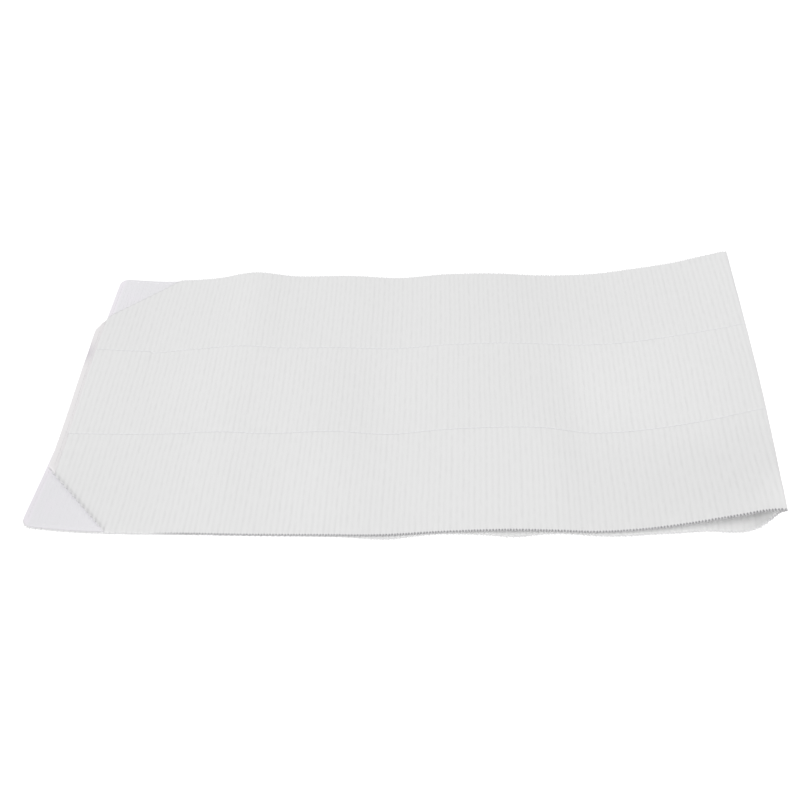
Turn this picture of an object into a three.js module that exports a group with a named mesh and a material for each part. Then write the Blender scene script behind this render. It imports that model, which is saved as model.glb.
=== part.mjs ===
// A postpartum belt: three bands of ribbed white elastic joined edge to edge, folded in half and laid flat.
// Each band is an upper and a lower layer that meet at the nose of the fold. The upper layer's open end has
// two cut corners and a narrow bound edge. The lower layer's open end is square, and carries a full-width
// hook panel on its inner face, which shows past the cut corners.
//
// Millimetres, +Z up. X runs along the belt with the fold at +X, Y across it, and the floor is Z = 0.
// The origin is the middle of the belt's footprint on the floor.
import * as THREE from "three";

// Driving dimensions
const beltWidth = 229;
const bandCount = 3;
const bandGap = 0.4;
const elasticThickness = 1.6;
const pieceGap = 0.3;

// The upper layer lies a little nearer the front than the lower one
const upperSideways = -2;

// The upper layer's end: a nearly square edge between two cut corners
const upperEnd = {
  frontCornerX: -208.8,
  frontCornerY: -63,
  backCornerX: -213.1,
  backCornerY: 67,
  frontCutX: -163.2,
  backCutX: -166.7,
};

// The lower layer's end, with its rounded corners
const lowerEnd = { frontX: -212.6, backX: -210.6, cornerRadius: 6.5 };

// The hook panel, sewn on the lower layer's inner face, and the tape that binds the upper layer's end
const hookPanel = { length: 90, thickness: 1.0, inset: 0.9 };
const binding = { overlap: 5, thickness: 0.6, endClearance: 1.2, outerRound: 0.6, innerRound: 0.2 };

// Upper layer: height of its upper face over the floor on the belt's four long lines, one row for each
// crest, valley or turn of the elastic, in order from the open end to the fold.
const upperLayer = [
  { along: -216, front: 8.4, frontSeam: 6.7, backSeam: 8.2, back: 6.8 },
  { along: -167, front: 6.4, frontSeam: 5.3, backSeam: 5.3, back: 5.1 },
  { along: -140, front: 5.7, frontSeam: 5.6, backSeam: 6.8, back: 6.4 },
  { along: -112, front: 5.2, frontSeam: 7.0, backSeam: 9.0, back: 11.0 },
  { along: -84, front: 4.4, frontSeam: 5.2, backSeam: 6.8, back: 7.0 },
  { along: -44, front: 4.2, frontSeam: 6.8, backSeam: 6.2, back: 6.4 },
  { along: -10, front: 4.2, frontSeam: 3.9, backSeam: 4.7, back: 3.9 },
  { along: 22, front: 7.0, frontSeam: 7.6, backSeam: 7.4, back: 6.4 },
  { along: 58, front: 8.8, frontSeam: 9.5, backSeam: 8.6, back: 6.4 },
  { along: 83, front: 8.2, frontSeam: 8.6, backSeam: 7.5, back: 4.4 },
  { along: 106, front: 7.2, frontSeam: 4.2, backSeam: 6.1, back: 3.9 },
  { along: 128, front: 9.2, frontSeam: 4.6, backSeam: 6.6, back: 4.9 },
  { along: 148, front: 13.1, frontSeam: 7.6, backSeam: 9.0, back: 7.8 },
  { along: 176, front: 21.0, frontSeam: 14.0, backSeam: 14.2, back: 12.6 },
];

// Fold: where its nose reaches, and how high its crown stands, on the four long lines.
const foldNoseX = { front: 199.8, frontSeam: 207, backSeam: 210.9, back: 213.2 };
const foldCrownZ = { front: 27.2, frontSeam: 21.4, backSeam: 20.4, back: 20.6 };

// Fold: its path from the upper layer round the nose to the floor, as the distance back from the nose and
// the height as a share of the crown's.
const foldPath = [
  { setback: 11, share: 0.9 },
  { setback: 3.6, share: 0.985 },
  { setback: 0.7, share: 0.985 },
  { setback: 0, share: 0.9 },
  { setback: 2.2, share: 0.72 },
  { setback: 5.6, share: 0.46 },
  { setback: 11, share: 0.25 },
  { setback: 21, share: 0.13 },
];

// Lower layer: how far it lies sideways of the belt's middle, and how far its underside lifts off the floor
// at the two long edges, in order from the fold to the open end. Between its seams it lies flat.
const lowerLayer = [
  { along: 158, sideways: 0.5, frontLift: 2.8, backLift: 0 },
  { along: 140, sideways: 0.3, frontLift: 2.0, backLift: 0 },
  { along: 106, sideways: 0.0, frontLift: 1.5, backLift: 0 },
  { along: 83, sideways: 0.2, frontLift: 2.2, backLift: 0 },
  { along: 58, sideways: 0.0, frontLift: 1.2, backLift: 0 },
  { along: 22, sideways: 0.2, frontLift: 1.8, backLift: 0 },
  { along: -10, sideways: -0.6, frontLift: 0.3, backLift: 0 },
  { along: -84, sideways: 0.6, frontLift: 0.3, backLift: 0 },
  { along: -140, sideways: 1.0, frontLift: 0.6, backLift: 0 },
  { along: -180, sideways: 0.9, frontLift: 2.0, backLift: 0 },
  { along: -216, sideways: 2.6, frontLift: 4.8, backLift: 2.0 },
];

// How finely the walls are faceted: along the path, across the pieces, and in the search for a place on it.
// A rounded corner has one more place at a share of its radius in from the edge.
const stepsPerSpan = 2;
const endSpans = 2;
const middlePlaces = 4;
const cutPlaces = 2;
const innerPlaces = 2;
const cornerShare = 0.25;
const hookSteps = 8;
const hookPlaces = 10;
const bindingSteps = 14;
const halvings = 40;
const speedProbe = 1e-3;

const halfWall = elasticThickness / 2;
const halfWidth = beltWidth / 2;
const rails = ["front", "frontSeam", "backSeam", "back"];
const railSpacing = beltWidth / (rails.length - 1);
const spanCount = upperLayer.length + foldPath.length + lowerLayer.length - 1;
const noseSpan = upperLayer.length + foldPath.findIndex((turn) => turn.setback === 0);
const { lerp, mapLinear, clamp } = THREE.MathUtils;

// Slope at a rail of a curve that never overshoots its values.
function railSlope(before, after) {
  return before * after > 0 ? (2 * before * after) / (before + after) : 0;
}

// A row's value at a place across the belt, on a smooth curve through the four rails.
function acrossBelt(row, y) {
  const values = rails.map((name) => row[name]);
  const rises = values.slice(1).map((value, i) => value - values[i]);
  const spot = clamp((y + halfWidth) / railSpacing, 0, rails.length - 1);
  const i = Math.min(Math.floor(spot), rails.length - 2);
  const s = spot - i;
  const slopeIn = i > 0 ? railSlope(rises[i - 1], rises[i]) : rises[i];
  const slopeOut = i < rises.length - 1 ? railSlope(rises[i], rises[i + 1]) : rises[i];
  return (
    values[i] * (1 + 2 * s) * (1 - s) ** 2 +
    values[i + 1] * s ** 2 * (3 - 2 * s) +
    slopeIn * s * (1 - s) ** 2 -
    slopeOut * s ** 2 * (1 - s)
  );
}

// How far the lower layer lifts off the floor at a place across the belt.
function liftAcross(row, y) {
  return acrossBelt({ front: row.frontLift, frontSeam: 0, backSeam: 0, back: row.backLift }, y);
}

// The middle surface's path at one place across the belt: out along the upper layer, round the fold and
// back along the lower layer.
function pathAt(y) {
  const noseX = acrossBelt(foldNoseX, y);
  const crownZ = acrossBelt(foldCrownZ, y);
  const upper = upperLayer.map(
    (row) => new THREE.Vector3(row.along, y + upperSideways, acrossBelt(row, y) - halfWall),
  );
  const fold = foldPath.map((turn, i) => {
    const sideways = lerp(upperSideways, lowerLayer[0].sideways, (i + 1) / (foldPath.length + 1));
    return new THREE.Vector3(noseX - turn.setback, y + sideways, turn.share * crownZ);
  });
  const lower = lowerLayer.map(
    (row) => new THREE.Vector3(row.along, y + row.sideways, liftAcross(row, y) + halfWall),
  );
  return new THREE.CatmullRomCurve3([...upper, ...fold, ...lower], false, "centripetal");
}

// A point at a distance off the middle surface, outward where the distance is positive.
function offPath(path, t, distance) {
  const point = path.getPoint(t);
  const tangent = path.getTangent(t);
  const outward = new THREE.Vector3(-tangent.z, 0, tangent.x).normalize();
  point.z = Math.max(point.z, halfWall);
  return point.addScaledVector(outward, distance);
}

// The path's parameter where it reaches a place along the belt, between two parameters.
function parameterAt(path, x, low, high) {
  const rising = path.getPoint(high).x > path.getPoint(low).x;
  for (let i = 0; i < halvings; i++) {
    const middle = (low + high) / 2;
    if (path.getPoint(middle).x < x === rising) low = middle;
    else high = middle;
  }
  return (low + high) / 2;
}

// Where the upper layer ends, with its two cut corners.
function upperEndX(y) {
  const { frontCornerX, frontCornerY, backCornerX, backCornerY, frontCutX, backCutX } = upperEnd;
  if (y < frontCornerY) return mapLinear(y, frontCornerY, -halfWidth, frontCornerX, frontCutX);
  if (y > backCornerY) return mapLinear(y, backCornerY, halfWidth, backCornerX, backCutX);
  return mapLinear(y, frontCornerY, backCornerY, frontCornerX, backCornerX);
}

// Where the lower layer, or a panel set in from its edges, ends with its rounded corners.
function lowerEndX(y, inset) {
  const { frontX, backX, cornerRadius } = lowerEnd;
  const into = Math.max(Math.abs(y) - (halfWidth - inset - cornerRadius), 0);
  const setback = cornerRadius - Math.sqrt(Math.max(cornerRadius ** 2 - into ** 2, 0));
  return mapLinear(y, -halfWidth, halfWidth, frontX, backX) + inset + setback;
}

// A closed solid between a grid of outer points and a matching grid of inner points, grid[row][column].
function wallBetween(outer, inner) {
  const lastRow = outer.length - 1;
  const lastColumn = outer[0].length - 1;
  const corners = [];
  const quad = (a, b, c, d) => corners.push(a, b, c, a, c, d);
  for (let i = 0; i < lastRow; i++) {
    for (let j = 0; j < lastColumn; j++) {
      quad(outer[i][j], outer[i][j + 1], outer[i + 1][j + 1], outer[i + 1][j]);
      quad(inner[i][j], inner[i + 1][j], inner[i + 1][j + 1], inner[i][j + 1]);
    }
    quad(outer[i][0], outer[i + 1][0], inner[i + 1][0], inner[i][0]);
    quad(outer[i][lastColumn], inner[i][lastColumn], inner[i + 1][lastColumn], outer[i + 1][lastColumn]);
  }
  for (let j = 0; j < lastColumn; j++) {
    quad(outer[0][j], inner[0][j], inner[0][j + 1], outer[0][j + 1]);
    quad(outer[lastRow][j], outer[lastRow][j + 1], inner[lastRow][j + 1], inner[lastRow][j]);
  }
  const geometry = new THREE.BufferGeometry().setFromPoints(corners);
  geometry.computeVertexNormals();
  return geometry;
}

// Even steps between two numbers, both included.
function steps(from, to, count) {
  return Array.from({ length: count + 1 }, (_, i) => lerp(from, to, i / count));
}

// Places across one band, with a place at each cut corner and closer ones round the lower layer's corners.
function placesAcross(band) {
  const width = (beltWidth - bandGap * (bandCount - 1)) / bandCount;
  const front = -halfWidth + band * (width + bandGap);
  const back = front + width;
  const rounded = halfWidth - lowerEnd.cornerRadius;
  const nearEdge = halfWidth - lowerEnd.cornerRadius * cornerShare;
  const { frontCornerY, backCornerY } = upperEnd;
  if (band === 0) {
    const cut = steps(-rounded, frontCornerY, cutPlaces);
    return [front, -nearEdge, ...cut, ...steps(frontCornerY, back, innerPlaces).slice(1)];
  }
  if (band === bandCount - 1) {
    const cut = steps(backCornerY, rounded, cutPlaces);
    return [...steps(front, backCornerY, innerPlaces).slice(0, -1), ...cut, nearEdge, back];
  }
  return steps(front, back, middlePlaces);
}

// The path's parameter a short distance further along it.
function further(path, t, distance) {
  const ahead = path.getPoint(t + speedProbe).distanceTo(path.getPoint(t - speedProbe));
  return t + (2 * speedProbe * distance) / ahead;
}

// One layer of an elastic band: a wall that follows the path from the layer's open end to the fold's nose,
// or from the nose to the open end. The piece gap parts the two layers at the nose.
function elasticLayer(band, layer) {
  const upperCut = endSpans / spanCount;
  const lowerCut = 1 - upperCut;
  const nose = noseSpan / spanCount;
  const endSteps = endSpans * stepsPerSpan;
  const upperSteps = (noseSpan - endSpans) * stepsPerSpan;
  const lowerSteps = (spanCount - noseSpan - endSpans) * stepsPerSpan;
  const outer = [];
  const inner = [];
  for (const y of placesAcross(band)) {
    const path = pathAt(y);
    const stations = [];
    if (layer === "upper") {
      const start = parameterAt(path, upperEndX(y), 0, upperCut);
      const end = further(path, nose, -pieceGap / 2);
      stations.push(...steps(start, upperCut, endSteps), ...steps(upperCut, end, upperSteps).slice(1));
    } else {
      const start = further(path, nose, pieceGap / 2);
      const end = parameterAt(path, lowerEndX(y, 0), lowerCut, 1);
      stations.push(...steps(start, lowerCut, lowerSteps), ...steps(lowerCut, end, endSteps).slice(1));
    }
    outer.push(stations.map((t) => offPath(path, t, halfWall)));
    inner.push(stations.map((t) => offPath(path, t, -halfWall)));
  }
  return wallBetween(outer, inner);
}

// The hook panel: a flat tape on the lower layer's inner face, as wide as the belt less its inset.
function hookTape() {
  const edge = halfWidth - hookPanel.inset;
  const rounded = edge - lowerEnd.cornerRadius;
  const nearEdge = edge - lowerEnd.cornerRadius * cornerShare;
  const places = [-edge, -nearEdge, ...steps(-rounded, rounded, hookPlaces), nearEdge, edge];
  const near = -halfWall - pieceGap;
  const far = near - hookPanel.thickness;
  const foldEnd = (upperLayer.length + foldPath.length) / spanCount;
  const outer = [];
  const inner = [];
  for (const y of places) {
    const path = pathAt(y);
    const endX = lowerEndX(y, hookPanel.inset);
    const start = parameterAt(path, lowerEnd.backX + hookPanel.length, foldEnd, 1);
    const end = parameterAt(path, endX, foldEnd, 1);
    outer.push(steps(start, end, hookSteps).map((t) => offPath(path, t, near)));
    inner.push(steps(start, end, hookSteps).map((t) => offPath(path, t, far)));
  }
  return wallBetween(outer, inner);
}

// One side of the folded binding tape, as the distance back from the elastic's end and the height over its
// middle surface.
function foldedTape(half, end, round) {
  return [
    { back: binding.overlap, over: -half },
    { back: end + round, over: -half },
    { back: end, over: round - half },
    { back: end, over: half - round },
    { back: end + round, over: half },
    { back: binding.overlap, over: half },
  ];
}

// The tape that binds the upper layer's straight end, from one cut corner to the other.
function endBinding() {
  const { thickness, endClearance, outerRound, innerRound } = binding;
  const innerHalf = halfWall + pieceGap;
  const outside = foldedTape(innerHalf + thickness, -pieceGap - thickness, outerRound);
  const inside = foldedTape(innerHalf, -pieceGap, innerRound);
  const from = upperEnd.frontCornerY + endClearance;
  const to = upperEnd.backCornerY - endClearance;
  const outer = [];
  const inner = [];
  for (const y of steps(from, to, bindingSteps)) {
    const path = pathAt(y);
    const endX = upperEndX(y);
    const place = ({ back, over }) => {
      const t = parameterAt(path, endX + Math.max(back, 0), 0, 1 / spanCount);
      const point = offPath(path, t, over);
      point.x += Math.min(back, 0);
      return point;
    };
    outer.push(outside.map(place));
    inner.push(inside.map(place));
  }
  return wallBetween(outer, inner);
}

function piece(name, geometry, material) {
  const mesh = new THREE.Mesh(geometry, material);
  mesh.name = name;
  return mesh;
}

const elasticWhite = new THREE.MeshStandardMaterial({ color: 0xe5e5e5, roughness: 0.9, metalness: 0 });
const hookLilac = new THREE.MeshStandardMaterial({ color: 0xe4e3e7, roughness: 0.6, metalness: 0 });
const bindingWhite = new THREE.MeshStandardMaterial({ color: 0xe8e3e6, roughness: 0.8, metalness: 0 });

const belt = new THREE.Group();
["elastic_front", "elastic_middle", "elastic_back"].forEach((name, band) => {
  for (const layer of ["upper", "lower"]) {
    belt.add(piece(`${name}_${layer}`, elasticLayer(band, layer), elasticWhite));
  }
});
belt.add(piece("hook_panel", hookTape(), hookLilac));
belt.add(piece("end_binding", endBinding(), bindingWhite));

export default belt;
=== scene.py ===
"""The looks of a postpartum belt: three ribbed elastic bands sewn side by side, folded in half, laid down.

A place on the belt is a share of its length, from 0 at the upper layer's open end, round the fold, to 1 at
the lower layer's open end, and a distance across it from its middle. Sizes are in millimetres until a mesh
is made.
"""

import logging
import math
from collections.abc import Mapping, Sequence
from dataclasses import dataclass
from enum import Enum
from typing import NamedTuple, Optional, TypeVar, Union

import bpy
import numpy as np
from mathutils import Matrix, Vector


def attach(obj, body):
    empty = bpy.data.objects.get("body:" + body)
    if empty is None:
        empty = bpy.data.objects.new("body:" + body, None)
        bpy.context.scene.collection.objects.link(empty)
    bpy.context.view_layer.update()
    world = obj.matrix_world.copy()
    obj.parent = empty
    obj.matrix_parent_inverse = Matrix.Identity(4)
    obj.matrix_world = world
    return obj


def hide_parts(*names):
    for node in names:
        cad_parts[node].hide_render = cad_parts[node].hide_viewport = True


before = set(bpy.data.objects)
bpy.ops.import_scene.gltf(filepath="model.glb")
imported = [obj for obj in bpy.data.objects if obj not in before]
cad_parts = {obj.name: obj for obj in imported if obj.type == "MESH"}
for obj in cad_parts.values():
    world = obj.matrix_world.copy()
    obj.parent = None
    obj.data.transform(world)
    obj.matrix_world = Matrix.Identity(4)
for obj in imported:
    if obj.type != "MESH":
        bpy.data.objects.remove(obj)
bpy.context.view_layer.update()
LOG = logging.getLogger("postpartum_belt")
MM = 0.001
TURN = 2 * math.pi
SELVAGE = 4.2
HOOK_ROW = 2.3
Array = np.ndarray
Colour = tuple[float, float, float, float]
Row = tuple[float, ...]
Feed = Union["Signal", float, Sequence[float]]
Pick = TypeVar("Pick")


class Rails(NamedTuple):
    """A value on each of the belt's four long lines: its two edges and its two seams."""

    front: float
    front_seam: float
    back_seam: float
    back: float


class UpperRow(NamedTuple):
    """A crest, valley or turn of the upper layer: its place along the belt and its upper face's height."""

    along: float
    height: Rails


class FoldTurn(NamedTuple):
    """A point of the fold: how far it lies behind the nose, and its height as a share of the crown's."""

    setback: float
    share: float


class LowerRow(NamedTuple):
    """A row of the lower layer: its place, its shift sideways, and how far its two long edges lift."""

    along: float
    sideways: float
    front_lift: float
    back_lift: float


class Crease(NamedTuple):
    """A shallow crease: its place on the belt, its length and width, its turn in degrees, and its depth."""

    along: float
    across: float
    length: float
    width: float
    turn: float
    depth: float


class Peek(NamedTuple):
    """A place where the lower layer's front edge looks out or draws in, counted from its end."""

    from_end: float
    run: float
    reach: float


class Wander(NamedTuple):
    """A slow wander of the ribs: how many ribs it reaches, its turns along the belt, its phase by seed."""

    reach: float
    turns: float
    phase: float


class Waver(NamedTuple):
    """A small waver of the binding's inner edge: its reach and its length."""

    reach: float
    length: float


class HookPoint(NamedTuple):
    """A point of a hook: its share of the height, how far it leans, and its share of the tip's colour."""

    rise: float
    lean: float
    pale: float


class Strand(NamedTuple):
    """A round strand: its radius, and how many sides it is given."""

    radius: float
    sides: int


class Stitch(NamedTuple):
    """A straight stitch: its length, the gap to the next, its thread, its heights and its turns."""

    length: float
    gap: float
    strand: Strand
    height: Row
    turns: float = 3.0

    @property
    def place(self) -> Array:
        """Where the stitch's points lie, as shares of its length from its middle."""
        return np.linspace(-0.5, 0.5, len(self.height))

    @property
    def twist(self) -> Array:
        """How far the thread has turned at the stitch's points."""
        return self.place * self.turns

    def spread(self, start: float, stop: float) -> Array:
        """Sets stitches along a line, each as a row of points."""
        return np.arange(start, stop, self.length + self.gap)[:, None] + self.place * self.length


class Spots(NamedTuple):
    """Places on the belt: share of its length, distances from its two ends, place across it, and point."""

    share: Array
    along: Array
    left: Array
    y: Array
    point: Array


class BandPlace(Enum):
    """Which of the three bands, counted from the front."""

    FRONT = 0
    MIDDLE = 1
    BACK = 2

    @property
    def band(self) -> str:
        """The name of the band there."""
        return f"elastic_{self.name.lower()}"


class Face(Enum):
    """A face of the cloth, as the side of its middle surface that it lies on."""

    OUTER = 1
    INNER = -1


class Edge(Enum):
    """A long edge of the belt, as the side of its middle that it lies on."""

    FRONT = -1
    BACK = 1


UPPER_LAYER = (
    UpperRow(-216, Rails(8.4, 6.7, 8.2, 6.8)),
    UpperRow(-167, Rails(6.4, 5.3, 5.3, 5.1)),
    UpperRow(-140, Rails(5.7, 5.6, 6.8, 6.4)),
    UpperRow(-112, Rails(5.2, 7.0, 9.0, 11.0)),
    UpperRow(-84, Rails(4.4, 5.2, 6.8, 7.0)),
    UpperRow(-44, Rails(4.2, 6.8, 6.2, 6.4)),
    UpperRow(-10, Rails(4.2, 3.9, 4.7, 3.9)),
    UpperRow(22, Rails(7.0, 7.6, 7.4, 6.4)),
    UpperRow(58, Rails(8.8, 9.5, 8.6, 6.4)),
    UpperRow(83, Rails(8.2, 8.6, 7.5, 4.4)),
    UpperRow(106, Rails(7.2, 4.2, 6.1, 3.9)),
    UpperRow(128, Rails(9.2, 4.6, 6.6, 4.9)),
    UpperRow(148, Rails(13.1, 7.6, 9.0, 7.8)),
    UpperRow(176, Rails(21.0, 14.0, 14.2, 12.6)),
)
FOLD_NOSE = Rails(199.8, 207, 210.9, 213.2)
FOLD_CROWN = Rails(27.2, 21.4, 20.4, 20.6)
FOLD_PATH = (
    FoldTurn(11, 0.9),
    FoldTurn(3.6, 0.985),
    FoldTurn(0.7, 0.985),
    FoldTurn(0, 0.9),
    FoldTurn(2.2, 0.72),
    FoldTurn(5.6, 0.46),
    FoldTurn(11, 0.25),
    FoldTurn(21, 0.13),
)
LOWER_LAYER = (
    LowerRow(158, 0.5, 2.8, 0),
    LowerRow(140, 0.3, 2.0, 0),
    LowerRow(106, 0.0, 1.5, 0),
    LowerRow(83, 0.2, 2.2, 0),
    LowerRow(58, 0.0, 1.2, 0),
    LowerRow(22, 0.2, 1.8, 0),
    LowerRow(-10, -0.6, 0.3, 0),
    LowerRow(-84, 0.6, 0.3, 0),
    LowerRow(-140, 1.0, 0.6, 0),
    LowerRow(-180, 0.9, 2.0, 0),
    LowerRow(-216, 2.6, 4.8, 2.0),
)
PEEKS = (
    Peek(205, 17, 1.8),
    Peek(276, 12, 1.4),
    Peek(330, 17, 1.1),
    Peek(382, 11, -1.1),
)
CREASES = (
    Crease(0, 34, 9, 3.0, 90, 0.6),
    Crease(42, 38, 6, 1.2, 90, 0.4),
    Crease(47, 46, 9, 1.6, 78, 0.15),
    Crease(394, -115, 10, 14, 0, 0.6),
    Crease(398, -92, 8, 1.8, 55, 0.35),
    Crease(405, -100, 7, 1.5, 70, 0.3),
    Crease(392, -82, 9, 2.2, 40, 0.25),
    Crease(30, -70, 12, 2.5, 60, 0.2),
    Crease(230, 20, 22, 3.0, 85, 0.15),
    Crease(330, -40, 18, 3.0, 100, 0.15),
)
RIB_WANDERS = (Wander(0.10, 7.3, 0.13), Wander(0.05, 43.7, 0.71))
BINDING_WAVERS = (Waver(0.18, 17), Waver(0.12, 7.3))
HOOK_SHAPE = (
    HookPoint(0.0, 0.0, 0.0),
    HookPoint(0.62, 0.0, 0.6),
    HookPoint(1.0, 0.13, 1.0),
    HookPoint(0.78, 0.34, 0.9),
)


class Signal:
    """A node's output, on which sums are written as expressions."""

    def __init__(self, bench: "FinishBench", socket: Optional[bpy.types.NodeSocket]) -> None:
        """Keeps the socket and the bench that it belongs to."""
        self.bench = bench
        self.socket = socket

    def _sum(self, operation: str, *values: Feed) -> "Signal":
        """Adds a Math node with that operation on those values."""
        return self.bench.node("ShaderNodeMath", {"operation": operation}, dict(enumerate(values)))

    def __add__(self, other: Feed) -> "Signal":
        """This signal plus another or a number."""
        return self._sum("ADD", self, other)

    def __radd__(self, other: Feed) -> "Signal":
        """A number plus this signal."""
        return self._sum("ADD", other, self)

    def __sub__(self, other: Feed) -> "Signal":
        """This signal less another or a number."""
        return self._sum("SUBTRACT", self, other)

    def __rsub__(self, other: Feed) -> "Signal":
        """A number less this signal."""
        return self._sum("SUBTRACT", other, self)

    def __mul__(self, other: Feed) -> "Signal":
        """This signal times another or a number."""
        return self._sum("MULTIPLY", self, other)

    def __rmul__(self, other: Feed) -> "Signal":
        """A number times this signal."""
        return self._sum("MULTIPLY", other, self)

    def __truediv__(self, other: Feed) -> "Signal":
        """This signal over another or a number."""
        return self._sum("DIVIDE", self, other)

    def __rtruediv__(self, other: Feed) -> "Signal":
        """A number over this signal."""
        return self._sum("DIVIDE", other, self)

    def __pow__(self, other: Feed) -> "Signal":
        """This signal raised to a power."""
        return self._sum("POWER", self, other)

    def __rpow__(self, other: Feed) -> "Signal":
        """A number raised to this signal."""
        return self._sum("POWER", other, self)

    def __abs__(self) -> "Signal":
        """This signal without its sign."""
        return self._sum("ABSOLUTE", self)

    def whole(self) -> "Signal":
        """The whole number at or under this signal."""
        return self._sum("FLOOR", self)

    def off_middle(self) -> "Signal":
        """How far this signal is from halfway between two whole numbers: 0 there, 1 on them."""
        return abs(self._sum("FRACT", self) - 0.5) * 2

    def wave(self) -> "Signal":
        """A sine with one turn for each whole number of this signal."""
        return self._sum("SINE", self * TURN)

    def pulse(self) -> "Signal":
        """The same sine, brought between 0 and 1."""
        return self.wave() * 0.5 + 0.5

    def eased(self, low: float, high: float) -> "Signal":
        """Brings this signal smoothly from 0 at one value to 1 at another."""
        settings = {"interpolation_type": "SMOOTHSTEP"}
        return self.bench.node("ShaderNodeMapRange", settings, {0: self, 1: low, 2: high})


class FinishBench:
    """The node tree of one finish."""

    def __init__(self, name: str) -> None:
        """Starts an empty material.

        Args:
            name: The material's name.
        """
        self.material = bpy.data.materials.new(name)
        self.material.use_nodes = True
        self.tree = self.material.node_tree
        self.tree.nodes.clear()

    def node(
        self,
        kind: str,
        settings: Optional[Mapping[str, object]] = None,
        inputs: Optional[Mapping[Union[int, str], Feed]] = None,
        output: int = 0,
    ) -> Signal:
        """Adds a node.

        Args:
            kind: The node's type.
            settings: Its settings, which are set first.
            inputs: Values or signals for its sockets, by name or number.
            output: The number of the socket to hand on.

        Returns:
            That output of the node.
        """
        made = self.tree.nodes.new(kind)
        for name, value in (settings or {}).items():
            setattr(made, name, value)
        for key, value in (inputs or {}).items():
            if isinstance(value, Signal):
                self.tree.links.new(value.socket, made.inputs[key])
            else:
                made.inputs[key].default_value = value
        return Signal(self, made.outputs[output] if len(made.outputs) else None)

    def mark(self, name: str) -> Signal:
        """Reads a number that the mesh carries on its points."""
        return self.node("ShaderNodeAttribute", {"attribute_name": name}, output=2)

    def spot(self, x: Feed, y: Feed) -> Signal:
        """Makes a vector of two numbers."""
        return self.node("ShaderNodeCombineXYZ", inputs={0: x, 1: y})

    def noise(self, spot: Signal, scale: float, detail: float = 2.0) -> Signal:
        """Adds a soft noise from 0 to 1, with that many grains in a unit and layers of finer ones."""
        inputs = {"Vector": spot, "Scale": scale, "Detail": detail}
        return self.node("ShaderNodeTexNoise", inputs=inputs)

    def mix(self, share: Feed, first: Feed, second: Feed) -> Signal:
        """Mixes two colours, with that share of the second."""
        settings = {"data_type": "RGBA", "clamp_factor": True}
        return self.node("ShaderNodeMix", settings, {0: share, 6: first, 7: second}, output=2)

    def bump(self, height: Signal, depth: float, strength: float) -> Signal:
        """Bends the normal by a relief from 0 to 1, that many millimetres deep."""
        inputs = {"Height": height, "Distance": depth * MM, "Strength": strength}
        return self.node("ShaderNodeBump", inputs=inputs)

    def surface(self, inputs: Mapping[Union[int, str], Feed]) -> bpy.types.Material:
        """Closes the finish with its shader.

        Args:
            inputs: Values or signals of the shader's sockets.

        Returns:
            The finished material.
        """
        shader = self.node("ShaderNodeBsdfPrincipled", inputs=inputs)
        self.node("ShaderNodeOutputMaterial", inputs={"Surface": shader})
        return self.material


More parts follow.
